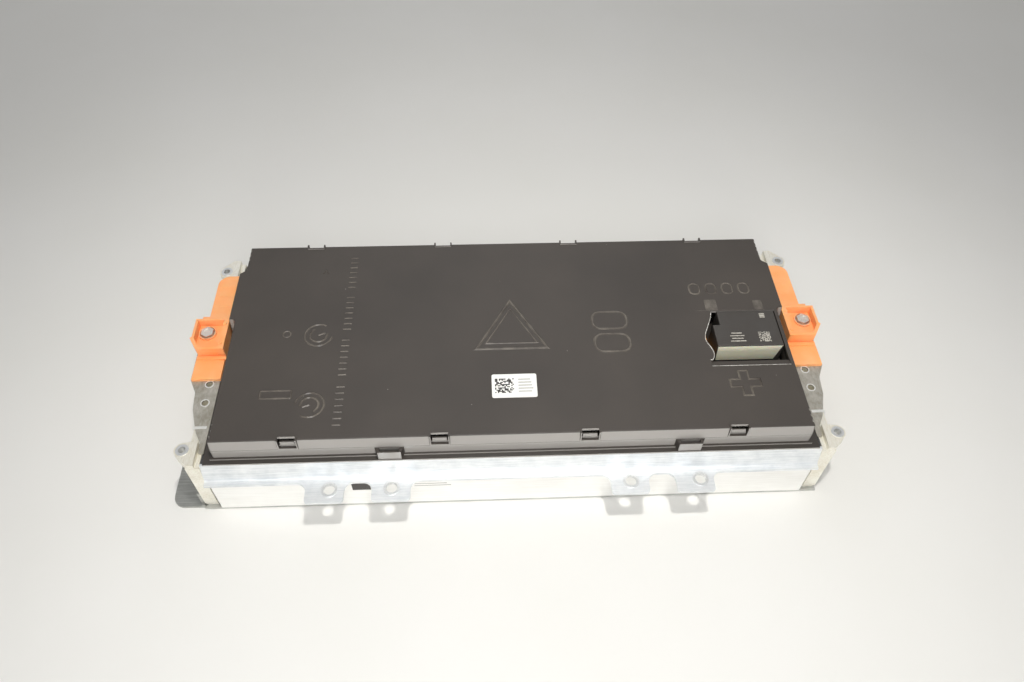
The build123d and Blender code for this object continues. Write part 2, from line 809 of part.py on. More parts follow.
def end_sheet():
    """Stamped sheet on top of the end plate, under the shroud, with a narrow tail."""
    inner, tail = sheet_inner_x, sheet_inner_x + sheet_tail_width
    block_half = terminal_block_width / 2 + terminal_block_clearance
    notch_y0, notch_y1 = terminal_y - block_half, terminal_y + block_half
    outer = tray_outer_x + shroud_wall
    outline = Polyline(
        (inner, sheet_tail_y), (tail, sheet_tail_y), (tail + 1, sheet_tail_y + 13),
        (end_outer - 3, sheet_tail_y + 24), (end_outer - 0.5, sheet_tail_y + 31),
        (end_outer + 5.5, sheet_tail_y + 51), (end_outer + 7.6, sheet_tail_y + 72),
        (outer, sheet_tail_y + 88), (outer, notch_y0), (end_outer - 8, notch_y0),
        (end_outer - 8, notch_y1), (arm_outer_x, notch_y1), (arm_outer_x, sheet_rear_y),
        (inner, sheet_rear_y), close=True,
    )
    face = fillet(make_face(outline).vertices(), 1.5)
    sheet = Pos(0, 0, frame_top) * extrude(face, end_sheet_thickness)
    for y in sheet_holes_y:
        sheet -= rod(sheet_hole_x, y, sheet_hole_radius, frame_top, sheet_top)
    return sheet


# ------------------------------------------------------------------ write the pieces
def pieces():
    parts = {
        "base_plate": base_plate(),
        "thermal_pad": thermal_pad(),
        "front_rail": rail(-1, flange_height),
        "rear_rail": rail(1, frame_top),
        "end_plate_right": end_plate(),
        "end_plate_left": other_side(end_plate()),
        "end_insulators": end_insulators(),
        "compression_pads": compression_pads(),
        "side_film_front": side_film(-1),
        "side_film_rear": side_film(1),
        "front_bracket": front_bracket(),
        "tab_bushes": tab_bushes(),
        "ear_bushes": ear_bushes(),
        "foot": foot(),
        "cell_spacers": cell_spacers(),
        "carrier": carrier(),
        "sensing_circuit": sensing_circuit(),
        "terminal_busbar_right": terminal_busbar(),
        "terminal_busbar_left": other_side(terminal_busbar()),
        "monitoring_unit": monitoring_unit(),
        "connector_header": connector_header(),
        "top_cover": top_cover(),
        "terminal_shroud_right": terminal_shroud(),
        "terminal_shroud_left": other_side(terminal_shroud()),
        "terminal_nuts": Compound(children=[terminal_nut(), other_side(terminal_nut())]),
        "terminal_bolts": Compound(children=[terminal_bolt(), other_side(terminal_bolt())]),
        "end_sheet_right": end_sheet(),
        "end_sheet_left": other_side(end_sheet()),
    }
    for index in range(cell_count):
        parts[f"cell_{index + 1:02d}"] = cell(index)
    for index in range(group_count - 1):
        parts[f"busbar_{index + 1}"] = series_busbar(index)
    return parts


os.makedirs("parts", exist_ok=True)
for name, piece in pieces().items():
    export_step(piece, f"parts/{name}.step")
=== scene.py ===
"""Looks of a battery module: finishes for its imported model, and the small pieces that sit on it.

Lengths are metres; MM turns millimetres into them.
"""
import math
import random

import bmesh
import bpy
from bpy.props import FloatProperty, FloatVectorProperty, IntProperty, PointerProperty
from mathutils import Matrix, Vector


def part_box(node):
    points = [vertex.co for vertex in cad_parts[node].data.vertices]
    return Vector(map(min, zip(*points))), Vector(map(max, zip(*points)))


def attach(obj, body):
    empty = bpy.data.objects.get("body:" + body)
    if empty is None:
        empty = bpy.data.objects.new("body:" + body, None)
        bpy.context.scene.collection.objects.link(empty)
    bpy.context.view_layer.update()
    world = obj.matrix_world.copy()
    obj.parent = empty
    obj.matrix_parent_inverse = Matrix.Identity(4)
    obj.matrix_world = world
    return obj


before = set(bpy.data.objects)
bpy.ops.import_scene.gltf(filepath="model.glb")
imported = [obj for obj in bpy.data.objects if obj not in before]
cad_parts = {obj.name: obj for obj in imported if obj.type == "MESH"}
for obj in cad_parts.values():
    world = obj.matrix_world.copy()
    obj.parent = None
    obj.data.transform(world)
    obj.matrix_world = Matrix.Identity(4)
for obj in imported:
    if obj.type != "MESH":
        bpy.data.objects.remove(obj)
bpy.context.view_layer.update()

bl_info = {
    "name": "Battery Module Looks",
    "version": (1, 0, 0),
    "blender": (4, 5, 0),
    "location": "3D View > Sidebar > Module",
    "description": "Finishes, moulded marks, label, welds and stage for a battery module",
    "category": "Object",
}

MM = 0.001

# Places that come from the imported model
cover_low, cover_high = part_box("top_cover")
unit_low, unit_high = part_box("monitoring_unit")
header_low, header_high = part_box("connector_header")
rail_low, rail_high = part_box("front_rail")
rear_rail_low, rear_rail_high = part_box("rear_rail")
plate_low, plate_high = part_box("end_plate_right")
sheet_low, sheet_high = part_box("end_sheet_right")
shroud_low, shroud_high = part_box("terminal_shroud_right")
bolt_low, bolt_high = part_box("terminal_bolts")
RIM_RISE = 1.0 * MM            # the cover's rims stand this far above its top
COVER_TOP = cover_high.z - RIM_RISE
UNIT_TOP, SHEET_TOP, SHROUD_TOP = unit_high.z, sheet_high.z, shroud_high.z
SUNK = 0.1 * MM                # how far an added mark goes into the face under it
SLOPE_RUN = 1.6                # run of a moulded mark's sloped side over its rise
INK_CORNER, INK_SLOPE = 0.1 * MM, 0.01 * MM

# Places of the moulded marks on the cover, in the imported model's own frame
TRIANGLE_X, TRIANGLE_FOOT = 1.0 * MM, -21.3 * MM
POLARITY_X, POLARITY_ROW = 230 * MM, -71.5 * MM
DIALS = ((-196.5 * MM, 2 * MM, 20), (-196 * MM, -84.5 * MM, 200))     # middle and turn
SMALL_RING = (-229 * MM, 4 * MM, 4 * MM)                              # middle and radius
CARET_X, CARET_FOOT, CARET_SIZE = -198 * MM, 89 * MM, (3 * MM, 5 * MM)
DASH_COLUMN, FIRST_DASH, LAST_DASH = -168 * MM, 112 * MM, -108 * MM
LARGE_FRAMES_X, LARGE_FRAME_ROWS = 104.5 * MM, (-16.5 * MM, 13.5 * MM)
SMALL_FRAMES_START, SMALL_FRAMES_PITCH, SMALL_FRAMES_ROW = 202, 18, 55   # in millimetres
WORN_PATCHES = ((209, 222, 23, 39), (261, 271, 24, 37))   # x and y ranges in millimetres

# Sides of the two boxes in which the edges of the cover's well are looked for
WELL_LEFT, WELL_TORN_RIGHT, WELL_RIGHT = 200 * MM, 214.5 * MM, 284 * MM
WELL_REAR, WELL_FRONT = 22 * MM, -44 * MM
LIP_FRONT, LIP_REAR = -51 * MM, -49.5 * MM
SHARP_DOT = 0.99               # two faces meet in a sharp edge if their normals' dot is less


# ------------------------------------------------------------------ colours and nodes
def linear(code):
    """Linear colour of an sRGB hex value."""
    parts = [int(code[i:i + 2], 16) / 255 for i in (1, 3, 5)]
    return tuple(p / 12.92 if p <= 0.04045 else ((p + 0.055) / 1.055) ** 2.4 for p in parts)


def opaque(colour):
    return (colour[0], colour[1], colour[2], 1.0)


def add(tree, kind, values=(), links=(), **options):
    """Adds a node, sets its options and sockets, and links sockets to other nodes' outputs."""
    made = tree.nodes.new(kind)
    for name, value in options.items():
        setattr(made, name, value)
    for socket, value in dict(values).items():
        made.inputs[socket].default_value = value
    for socket, source in dict(links).items():
        tree.links.new(source, made.inputs[socket])
    return made


def start_material(name):
    """A material with only a surface and its output, and the place a pattern starts from."""
    made = bpy.data.materials.new(name)
    made.use_nodes = True
    tree = made.node_tree
    tree.nodes.clear()
    surface = add(tree, "ShaderNodeBsdfPrincipled")
    add(tree, "ShaderNodeOutputMaterial", links={"Surface": surface.outputs["BSDF"]})
    place = add(tree, "ShaderNodeTexCoord").outputs["Object"]
    return made, tree, surface, place


def paint_front_face_highlight(made, pale, weight):
    """Faces that look to the front, as if from polished steel, get a clear sheen; their paler
    colour is a painted highlight.
    """
    tree = made.node_tree
    surface = next(n for n in tree.nodes if n.type == "BSDF_PRINCIPLED")
    colour = surface.inputs["Base Color"].links[0].from_socket
    facing = add(tree, "ShaderNodeSeparateXYZ",
                 links={"Vector": add(tree, "ShaderNodeNewGeometry").outputs["True Normal"]})
    share = add(tree, "ShaderNodeMapRange",
                {"From Min": -0.75, "From Max": -0.97, "To Min": 0.0, "To Max": weight},
                {"Value": facing.outputs["Y"]})
    # The paler colour mixed in on front faces is a painted highlight.
    painted_highlight_colour = add(tree, "ShaderNodeMix", {7: opaque(pale)},
                {0: share.outputs["Result"], 6: colour}, data_type="RGBA")
    tree.links.new(painted_highlight_colour.outputs[2], surface.inputs["Base Color"])
    tree.links.new(share.outputs["Result"], surface.inputs["Coat Weight"])
    surface.inputs["Coat Roughness"].default_value = 0.15
    return made


def per_metre(millimetres):
    """Texture scale that repeats once in this many millimetres."""
    return 1.0 / (millimetres * MM)


# ------------------------------------------------------------------ families of finishes
def moulded_plastic(name, base, pale, roughness, ior, grain_mm, grain_depth_mm, flow_mm=70.0,
                    speck=None, speck_mm=26.0, spread=0.0, spread_mm=1.2):
    """Plastic from a steel mould: a fine grain, slow shading from the flow, and a few specks."""
    made, tree, surface, place = start_material(name)
    grain = add(tree, "ShaderNodeTexNoise",
                {"Scale": per_metre(grain_mm), "Detail": 3.0, "Roughness": 0.6},
                {"Vector": place})
    flow = add(tree, "ShaderNodeTexNoise",
               {"Scale": per_metre(flow_mm), "Detail": 3.0, "Roughness": 0.55},
               {"Vector": place})
    bands = add(tree, "ShaderNodeMapRange", {"From Min": 0.3, "From Max": 0.7},
                {"Value": flow.outputs["Fac"]})
    colour = add(tree, "ShaderNodeMix", {6: opaque(base), 7: opaque(pale)},
                 {0: bands.outputs["Result"]}, data_type="RGBA").outputs[2]
    if speck is not None:
        cells = add(tree, "ShaderNodeTexVoronoi", {"Scale": per_metre(speck_mm)},
                    {"Vector": place})
        dot = add(tree, "ShaderNodeMapRange",
                  {"From Min": 0.012, "From Max": 0.022, "To Min": 0.75, "To Max": 0.0},
                  {"Value": cells.outputs["Distance"]})
        colour = add(tree, "ShaderNodeMix", {7: opaque(speck)},
                     {0: dot.outputs["Result"], 6: colour}, data_type="RGBA").outputs[2]
    shine = add(tree, "ShaderNodeMapRange",
                {"From Min": 0.35, "From Max": 0.65, "To Min": roughness - 0.05,
                 "To Max": roughness + 0.05}, {"Value": grain.outputs["Fac"]})
    bump = add(tree, "ShaderNodeBump", {"Strength": 0.6, "Distance": grain_depth_mm * MM},
               {"Height": grain.outputs["Fac"]})
    tree.links.new(colour, surface.inputs["Base Color"])
    tree.links.new(shine.outputs["Result"], surface.inputs["Roughness"])
    tree.links.new(bump.outputs["Normal"], surface.inputs["Normal"])
    surface.inputs["IOR"].default_value = ior
    surface.inputs["Subsurface Weight"].default_value = spread
    surface.inputs["Subsurface Radius"].default_value = (1.0, 0.45, 0.2)
    surface.inputs["Subsurface Scale"].default_value = spread_mm * MM
    return made


def worked_metal(name, base, dull, roughness, line_mm, run, depth_mm, patch_mm=45.0,
                 rough_swing=0.08, metallic=1.0):
    """Bare metal whose fine marks run one way: run gives how much each axis is drawn out."""
    made, tree, surface, place = start_material(name)
    drawn = add(tree, "ShaderNodeMapping", {"Scale": run}, {"Vector": place})
    lines = add(tree, "ShaderNodeTexNoise",
                {"Scale": per_metre(line_mm), "Detail": 4.0, "Roughness": 0.65},
                {"Vector": drawn.outputs["Vector"]})
    patches = add(tree, "ShaderNodeTexNoise",
                  {"Scale": per_metre(patch_mm), "Detail": 4.0, "Roughness": 0.6},
                  {"Vector": place})
    both = add(tree, "ShaderNodeMath", links={0: lines.outputs["Fac"], 1: patches.outputs["Fac"]},
               operation="ADD")
    share = add(tree, "ShaderNodeMapRange", {"From Min": 0.75, "From Max": 1.25},
                {"Value": both.outputs["Value"]})
    colour = add(tree, "ShaderNodeMix", {6: opaque(base), 7: opaque(dull)},
                 {0: share.outputs["Result"]}, data_type="RGBA")
    shine = add(tree, "ShaderNodeMapRange",
                {"To Min": roughness - rough_swing, "To Max": roughness + rough_swing},
                {"Value": share.outputs["Result"]})
    bump = add(tree, "ShaderNodeBump", {"Strength": 0.4, "Distance": depth_mm * MM},
               {"Height": lines.outputs["Fac"]})
    tree.links.new(colour.outputs[2], surface.inputs["Base Color"])
    tree.links.new(shine.outputs["Result"], surface.inputs["Roughness"])
    tree.links.new(bump.outputs["Normal"], surface.inputs["Normal"])
    surface.inputs["Metallic"].default_value = metallic
    return made


def soft_pad(name, base, pale, roughness, pore_mm, depth_mm):
    """Foam or filled rubber: pores or grit, with no shine."""
    made, tree, surface, place = start_material(name)
    pores = add(tree, "ShaderNodeTexVoronoi", {"Scale": per_metre(pore_mm)}, {"Vector": place})
    colour = add(tree, "ShaderNodeMix", {6: opaque(base), 7: opaque(pale)},
                 {0: pores.outputs["Distance"]}, data_type="RGBA")
    bump = add(tree, "ShaderNodeBump", {"Strength": 0.5, "Distance": depth_mm * MM},
               {"Height": pores.outputs["Distance"]})
    tree.links.new(colour.outputs[2], surface.inputs["Base Color"])
    tree.links.new(bump.outputs["Normal"], surface.inputs["Normal"])
    surface.inputs["Roughness"].default_value = roughness
    return made


# ------------------------------------------------------------------ the module's own finishes
def cover_polypropylene(colours):
    # Talc-filled polypropylene from a spark-eroded mould: matt, warm near-black, dusty.
    # The real grain of about 0.1 mm is too fine to show, so it is drawn at 0.9 mm.
    # Its draft faces get a clear sheen and are painted paler as a highlight, so the front skirt
    # reads as a paler band.
    made = moulded_plastic("talc_filled_polypropylene_spark_eroded", colours.cover,
                           colours.cover_pale, 0.5, 1.49, 0.9, 0.05, flow_mm=120.0,
                           speck=linear("#a8a49c"))
    return paint_front_face_highlight(made, colours.skirt_highlight, 0.8)


def relief_polypropylene(colours):
    # The same plastic where it stands proud: smoother, and painted paler as a highlight for the
    # glints on its slopes.
    return moulded_plastic("talc_filled_polypropylene_painted_glint", colours.relief_glint_and_wear,
                           colours.cover_pale, 0.22, 1.49, 1.4, 0.02, flow_mm=20.0)


def worn_polypropylene(colours):
    # Patches of the cover that cleaning has left a little paler and smoother.
    return moulded_plastic("talc_filled_polypropylene_worn", colours.relief_glint_and_wear, colours.cover_pale,
                           0.45, 1.49, 0.9, 0.03, flow_mm=8.0)


def carrier_polyamide(colours):
    # Glass-filled polyamide from a polished mould: nearly black with a soft sheen.
    made = moulded_plastic("glass_filled_polyamide_polished_mould", colours.carrier,
                           colours.cover, 0.36, 1.53, 1.6, 0.03)
    # Its front faces get the same painted highlight as the cover's skirt.
    return paint_front_face_highlight(made, colours.skirt_highlight, 0.8)


def unit_polybutylene(colours):
    # Housing of the monitoring unit: dark grey PBT, satin, a little cooler than the cover.
    return moulded_plastic("pbt_satin_moulded_housing", colours.unit, colours.cover, 0.44, 1.55,
                           0.8, 0.03, flow_mm=30.0)


def header_polybutylene(colours):
    # Uncoloured PBT of the connector header: cream with a slight green, waxy, lets light in.
    return moulded_plastic("natural_pbt_moulded_header", colours.header, linear("#f8f3d6"), 0.4,
                           1.55, 1.2, 0.03, flow_mm=14.0, spread=0.25, spread_mm=1.5)


def shroud_polyamide(colours):
    # High-voltage orange polyamide: bright where it is open, deeper in its recesses, since
    # light that enters the wall comes out orange.
    return moulded_plastic("orange_polyamide_moulded", colours.shroud, colours.shroud_deep, 0.42,
                           1.53, 1.4, 0.04, flow_mm=25.0, spread=0.3, spread_mm=2.0)


def rail_aluminium(colours):
    # Extruded 6060 aluminium left as pressed: very bright, with faint lines along its length.
    # The die lines are nearer 0.05 mm, so they are drawn at 1.2 mm to show.
    return worked_metal("extruded_aluminium_mill_finish", colours.aluminium, linear("#eeedea"),
                        0.52, 1.2, (0.02, 1.0, 1.0), 0.02, patch_mm=90.0, metallic=0.75)


def end_plate_aluminium(colours):
    # Cast and sawn plate: the saw leaves short cross marks and a slightly creamy tone.
    return worked_metal("sawn_cast_aluminium", linear("#f9f7ee"), linear("#e6e1d2"), 0.52, 1.5,
                        (1.0, 0.25, 1.0), 0.05, patch_mm=26.0, metallic=0.8)


def bracket_aluminium(colours):
    # Rolled and bent 5754 sheet: smoother than the rails; its blue-grey patches are a painted
    # reflection.
    return worked_metal("rolled_aluminium_sheet_bent", linear("#f3f5f6"), linear("#d5d9dc"), 0.45,
                        1.6, (0.05, 1.0, 1.0), 0.015, patch_mm=22.0, rough_swing=0.1,
                        metallic=0.75)


def base_sheet_aluminium(colours):
    # Rolled base sheet: dull, with long roll marks.
    return worked_metal("rolled_aluminium_base_sheet", linear("#dcdcd8"), linear("#a9aaa8"), 0.5,
                        2.0, (0.04, 1.0, 1.0), 0.02)


def can_aluminium(colours):
    # Deep-drawn cell cans: satin, with upright draw lines.
    return worked_metal("deep_drawn_aluminium_can", linear("#d2d4d6"), linear("#a5a8ab"), 0.34,
                        1.2, (1.0, 1.0, 0.05), 0.02)


def busbar_aluminium(colours):
    # Stamped busbars: clean rolled face, brighter than the cans.
    return worked_metal("stamped_aluminium_busbar", linear("#e6e6e2"), linear("#bdbdb8"), 0.3,
                        1.2, (1.0, 0.05, 1.0), 0.015)


def bush_steel(colours):
    # Turned and zinc-plated bushes: bright rings with a cool tone.
    return worked_metal("turned_zinc_plated_steel_bush", linear("#f1f2f2"), linear("#cfd1d2"),
                        0.4, 0.8, (1.0, 1.0, 0.2), 0.02, patch_mm=9.0, metallic=0.85)


def screw_steel(colours):
    # Cold-headed and zinc-flaked screws: pale grey, satin, patchy where the tool seats.
    return worked_metal("zinc_flaked_steel_screw", linear("#f6f4ee"), linear("#d9d6cf"), 0.36,
                        1.0, (1.0, 1.0, 1.0), 0.03, patch_mm=6.0, metallic=0.8)


def weld_aluminium(colours):
    # Weld bead: rippled and bright, with a sooty edge.
    return worked_metal("aluminium_weld_bead", linear("#ece9e0"), linear("#7d7a74"), 0.4, 1.6,
                        (1.0, 1.0, 0.6), 0.15, patch_mm=5.0, rough_swing=0.15)


def end_sheet_finish(colours):
    # Grey passivated sheet of the end covers: dull, mottled by its chemical bath.
    return worked_metal("passivated_steel_sheet", linear("#bdb9b1"), linear("#999589"), 0.46, 3.0,
                        (1.0, 0.4, 1.0), 0.03, patch_mm=14.0, metallic=0.55)


def foot_aluminium_painted_shade(colours):
    # Foot plate: mid grey, darker than the bracket as painted shade for the shadow of the ear above
    # it.
    return worked_metal("rolled_aluminium_sheet_painted_shade", linear("#c9cac6"), linear("#a2a39e"), 0.42,
                        1.8, (0.05, 1.0, 1.0), 0.015, patch_mm=30.0)


def bend_painted_highlight_metal(colours):
    # Bright clean metal on the sheet's bends and hole rims: a painted highlight where they catch
    # the light.
    return worked_metal("steel_sheet_painted_bend_highlight", linear("#fafaf7"), linear("#dededa"), 0.42, 1.0,
                        (0.2, 1.0, 1.0), 0.02, patch_mm=8.0, metallic=0.7)


def thermal_gap_pad(colours):
    # Ceramic-filled silicone pad: grey-pink, gritty and without shine.
    return soft_pad("ceramic_filled_silicone_pad", linear("#8f8a8c"), linear("#a5a0a1"), 0.8,
                    1.4, 0.1)


def compression_foam(colours):
    # Closed-cell polyurethane foam: charcoal with small pores.
    return soft_pad("closed_cell_polyurethane_foam", linear("#37383a"), linear("#4a4b4d"), 0.85,
                    1.1, 0.3)


def insulator_film(colours):
    # Polyester film laid against the cells: pale blue-grey, glossy, with slow waves.
    return moulded_plastic("polyester_insulation_film", linear("#6f7f8c"), linear("#8c98a2"),
                           0.22, 1.57, 9.0, 0.12, flow_mm=50.0)


def sensing_film(colours):
    # Flexible circuit: amber polyimide over copper tracks 2 mm apart that run lengthwise.
    made, tree, surface, place = start_material("polyimide_film_over_copper_tracks")
    tracks = add(tree, "ShaderNodeTexWave",
                 {"Scale": per_metre(2.0) / math.tau, "Distortion": 0.0}, {"Vector": place},
                 bands_direction="Y")
    edge = add(tree, "ShaderNodeMapRange", {"From Min": 0.45, "From Max": 0.55},
               {"Value": tracks.outputs["Fac"]})
    colour = add(tree, "ShaderNodeMix",
                 {6: opaque(linear("#7a4a16")), 7: opaque(linear("#c98a3a"))},
                 {0: edge.outputs["Result"]}, data_type="RGBA")
    tree.links.new(colour.outputs[2], surface.inputs["Base Color"])
    surface.inputs["Roughness"].default_value = 0.3
    surface.inputs["IOR"].default_value = 1.68
    surface.inputs["Coat Weight"].default_value = 0.4
    return made


def label_paper(colours):
    # Matt thermal-transfer label: white polyester paper with a hardly visible grain.
    return moulded_plastic("thermal_transfer_label_matt", colours.label, linear("#e6e5e0"), 0.55,
                           1.5, 1.1, 0.01)


def dark_ink(colours):
    # Resin ribbon ink: dark, slightly glossier than its paper.
    return moulded_plastic("resin_ribbon_ink_dark", colours.dark_ink, linear("#3d3a38"), 0.4, 1.5,
                           0.7, 0.01)


def grey_ink(colours):
    # The same ink in light strokes, which reads as pale grey from afar.
    return moulded_plastic("resin_ribbon_ink_light_strokes", linear("#9a9895"),
                           linear("#bdbbb7"), 0.45, 1.5, 0.7, 0.01)


def laser_foamed_mark(colours):
    # Laser marking foams the dark housing into a pale, matt crust.
    return moulded_plastic("laser_foamed_pbt_mark", colours.pale_mark, linear("#8c877e"), 0.75,
                           1.5, 0.7, 0.05, flow_mm=3.0)


def painted_edge_highlight(colours):
    # Pale, shiny bead: a painted highlight along the torn edge of the well and along its front lip.
    return moulded_plastic("polypropylene_painted_edge_highlight", linear("#f1efe9"),
                           linear("#8d8981"), 0.3, 1.49, 1.5, 0.1, flow_mm=5.0)


def collar_polyamide(colours):
    # Natural polyamide ring round the screw: milky, tinted by the orange round it.
    return moulded_plastic("natural_polyamide_ring", linear("#f7c79a"), linear("#f3a56a"), 0.3,
                           1.53, 1.2, 0.02, flow_mm=6.0, spread=0.3, spread_mm=1.5)


def stage_paper(colours):
    # Painted board: matt warm white, with a roller texture drawn at 4 mm to show faintly.
    return moulded_plastic("emulsion_painted_board", colours.floor, linear("#e0dfdb"), 0.75, 1.5,
                           4.0, 0.05, flow_mm=260.0)


FINISH_OF_NODE = (
    ("top_cover", cover_polypropylene),
    ("carrier", carrier_polyamide),
    ("cell_spacers", carrier_polyamide),
    ("monitoring_unit", unit_polybutylene),
    ("connector_header", header_polybutylene),
    ("terminal_shroud", shroud_polyamide),
    ("front_rail", rail_aluminium),
    ("rear_rail", rail_aluminium),
    ("end_plate", end_plate_aluminium),
    ("front_bracket", bracket_aluminium),
    ("foot", foot_aluminium_painted_shade),
    ("base_plate", base_sheet_aluminium),
    ("cell_", can_aluminium),
    ("busbar_", busbar_aluminium),
    ("terminal_busbar", busbar_aluminium),
    ("tab_bushes", bush_steel),
    ("ear_bushes", bush_steel),
    ("terminal_bolts", screw_steel),
    ("terminal_nuts", screw_steel),
    ("end_sheet", end_sheet_finish),
    ("thermal_pad", thermal_gap_pad),
    ("compression_pads", compression_foam),
    ("end_insulators", insulator_film),
    ("side_film", insulator_film),
    ("sensing_circuit", sensing_film),
)

made_finishes = {}


def finish(make, colours):
    """The material that this function makes, made once."""
    if make.__name__ not in made_finishes:
        made_finishes[make.__name__] = make(colours)
    return made_finishes[make.__name__]


# ------------------------------------------------------------------ mesh helpers
def place_piece(name, mesh_builder, material, smooth=False):
    """Makes an object from a mesh builder, gives it a finish and lets it ride on the module."""
    mesh = bpy.data.meshes.new(name)
    bm = bmesh.new()
    mesh_builder(bm)
    bmesh.ops.recalc_face_normals(bm, faces=bm.faces)
    for face in bm.faces:
        face.smooth = smooth
    bm.to_mesh(mesh)
    bm.free()
    mesh.materials.append(material)
    piece = bpy.data.objects.new(name, mesh)
    bpy.context.scene.collection.objects.link(piece)
    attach(piece, "root")
    return piece


def skin(bm, rings, closed=False):
    """Joins rings of the same length, and caps the ends unless the run closes on itself."""
    rings = [[bm.verts.new(p) for p in ring] for ring in rings]
    count = len(rings[0])
    pairs = list(zip(rings, rings[1:])) + ([(rings[-1], rings[0])] if closed else [])
    for one, other in pairs:
        for i in range(count):
            j = (i + 1) % count
            bm.faces.new((one[i], one[j], other[j], other[i]))
    if not closed:
        bm.faces.new(list(reversed(rings[0])))
        bm.faces.new(rings[-1])


def ridge(bm, path, width, rise, z, closed=False):
    """Raised line with sloped sides along a flat path."""
    rings = []
    count = len(path)
    for i, point in enumerate(path):
        before = path[(i - 1) % count] if closed or i else point
        after = path[(i + 1) % count] if closed or i < count - 1 else point
        one = (Vector(point) - Vector(before))
        two = (Vector(after) - Vector(point))
        one = one.normalized() if one.length else two.normalized()
        two = two.normalized() if two.length else one
        middle = (one + two).normalized()
        across = Vector((-middle.y, middle.x)) / max(0.35, middle.dot(one))
        foot, top = width / 2, max(width / 2 - SLOPE_RUN * rise, width * 0.1)
        rings.append([
            (point[0] + across.x * side, point[1] + across.y * side, height)
            for side, height in ((-foot, z - SUNK), (-top, z + rise), (top, z + rise),
                                 (foot, z - SUNK))])
    skin(bm, rings, closed)


def rounded(x, y, length, depth, corner, steps=5):
    """Outline of a rounded rectangle with its middle at (x, y)."""
    points = []
    for turn, (sx, sy) in enumerate(((1, 1), (-1, 1), (-1, -1), (1, -1))):
        cx, cy = x + sx * (length / 2 - corner), y + sy * (depth / 2 - corner)
        for k in range(steps + 1):
            angle = math.radians(90 * turn + 90 * k / steps)
            points.append((cx + corner * math.cos(angle), cy + corner * math.sin(angle)))
    return points


def circle(x, y, radius, steps=40, start=0.0, sweep=360.0):
    count = steps if sweep >= 360 else steps + 1
    return [(x + radius * math.cos(math.radians(start + sweep * k / steps)),
             y + radius * math.sin(math.radians(start + sweep * k / steps)))
            for k in range(count)]


def pad(bm, x, y, length, depth, rise, z, corner=0.4 * MM, slope=0.25 * MM):
    """Low pad with rounded corners and sloped sides."""
    low = [(px, py, z - SUNK) for px, py in rounded(x, y, length, depth, corner)]
    high = [(px, py, z + rise) for px, py in
            rounded(x, y, length - 2 * slope, depth - 2 * slope, max(corner - slope, 0.05 * MM))]
    skin(bm, [low, high])


def upright_patch(bm, x0, x1, z0, z1, y, proud):
    """Thin patch on a face that looks to the front."""
    skin(bm, [[(x0, y + SUNK, z0), (x1, y + SUNK, z0), (x1, y + SUNK, z1), (x0, y + SUNK, z1)],
              [(x0, y - proud, z0), (x1, y - proud, z0), (x1, y - proud, z1), (x0, y - proud, z1)]])


def tube(bm, points, radius, sides=8):
    """Round bead along points; radius may be a list with one value a point."""
    radii = radius if isinstance(radius, list) else [radius] * len(points)
    rings = []
    for i, point in enumerate(points):
        run = Vector(points[min(i + 1, len(points) - 1)]) - Vector(points[max(i - 1, 0)])
        side = run.cross(Vector((0.3, 0.2, 1))).normalized()
        up = side.cross(run).normalized()
        rings.append([Vector(point) + radii[i] * (side * math.cos(math.tau * k / sides)
                                                  + up * math.sin(math.tau * k / sides))
                      for k in range(sides)])
    skin(bm, rings)


def ring_solid(bm, x, y, inner, outer, z0, z1, steps=36):
    """Upright ring with a square section."""
    rings = []
    for k in range(steps):
        angle = math.tau * k / steps
        c, s = math.cos(angle), math.sin(angle)
        rings.append([(x + r * c, y + r * s, z) for r, z in
                      ((inner, z0), (outer, z0), (outer, z1), (inner, z1))])
    skin(bm, rings, closed=True)


def scattered_cells(bm, x, y, length, depth, across, z, thickness, seed, share=0.5):
    """Block of small squares, some filled and some bare, that stands in for a printed code."""
    chance = random.Random(seed)
    step = length / across
    rows = max(1, round(depth / step))
    for i in range(across):
        for j in range(rows):
            if chance.random() < share:
                cx, cy = x - length / 2 + (i + 0.5) * step, y - depth / 2 + (j + 0.5) * step
                pad(bm, cx, cy, step, step, thickness, z, corner=0.02 * MM, slope=0.01 * MM)


# ------------------------------------------------------------------ settings
class ModuleSizes(bpy.types.PropertyGroup):
    """Sizes of the pieces that are added to the module."""
    relief_rise: FloatProperty(
        name="Relief rise", description="Height of the moulded marks above the cover",
        default=0.75 * MM, min=0.1 * MM, max=0.9 * MM, precision=5, unit="LENGTH")
    relief_width: FloatProperty(
        name="Relief width", description="Width of a moulded line",
        default=2.6 * MM, min=0.4 * MM, max=4 * MM, precision=5, unit="LENGTH")
    triangle_width: FloatProperty(
        name="Triangle width", description="Width of the raised triangle",
        default=73 * MM, min=20 * MM, max=100 * MM, precision=4, unit="LENGTH")
    triangle_height: FloatProperty(
        name="Triangle height", description="Height of the raised triangle",
        default=64.6 * MM, min=20 * MM, max=100 * MM, precision=4, unit="LENGTH")
    dial_radius: FloatProperty(
        name="Dial radius", description="Outer radius of a mould dial",
        default=14 * MM, min=5 * MM, max=20 * MM, precision=4, unit="LENGTH")
    label_length: FloatProperty(
        name="Label length", description="Label along the module",
        default=44.3 * MM, min=20 * MM, max=80 * MM, precision=4, unit="LENGTH")
    label_depth: FloatProperty(
        name="Label depth", description="Label across the module",
        default=28.3 * MM, min=10 * MM, max=40 * MM, precision=4, unit="LENGTH")
    print_thickness: FloatProperty(
        name="Print thickness", description="How far print stands above what carries it",
        default=0.04 * MM, min=0.01 * MM, max=0.2 * MM, precision=6, unit="LENGTH")
    weld_radius: FloatProperty(
        name="Weld radius", description="Half the width of a weld bead",
        default=2.1 * MM, min=1 * MM, max=2.5 * MM, precision=5, unit="LENGTH")
    dash_count: IntProperty(
        name="Dash count", description="Plain raised dashes in the long column",
        default=31, min=4, max=60)


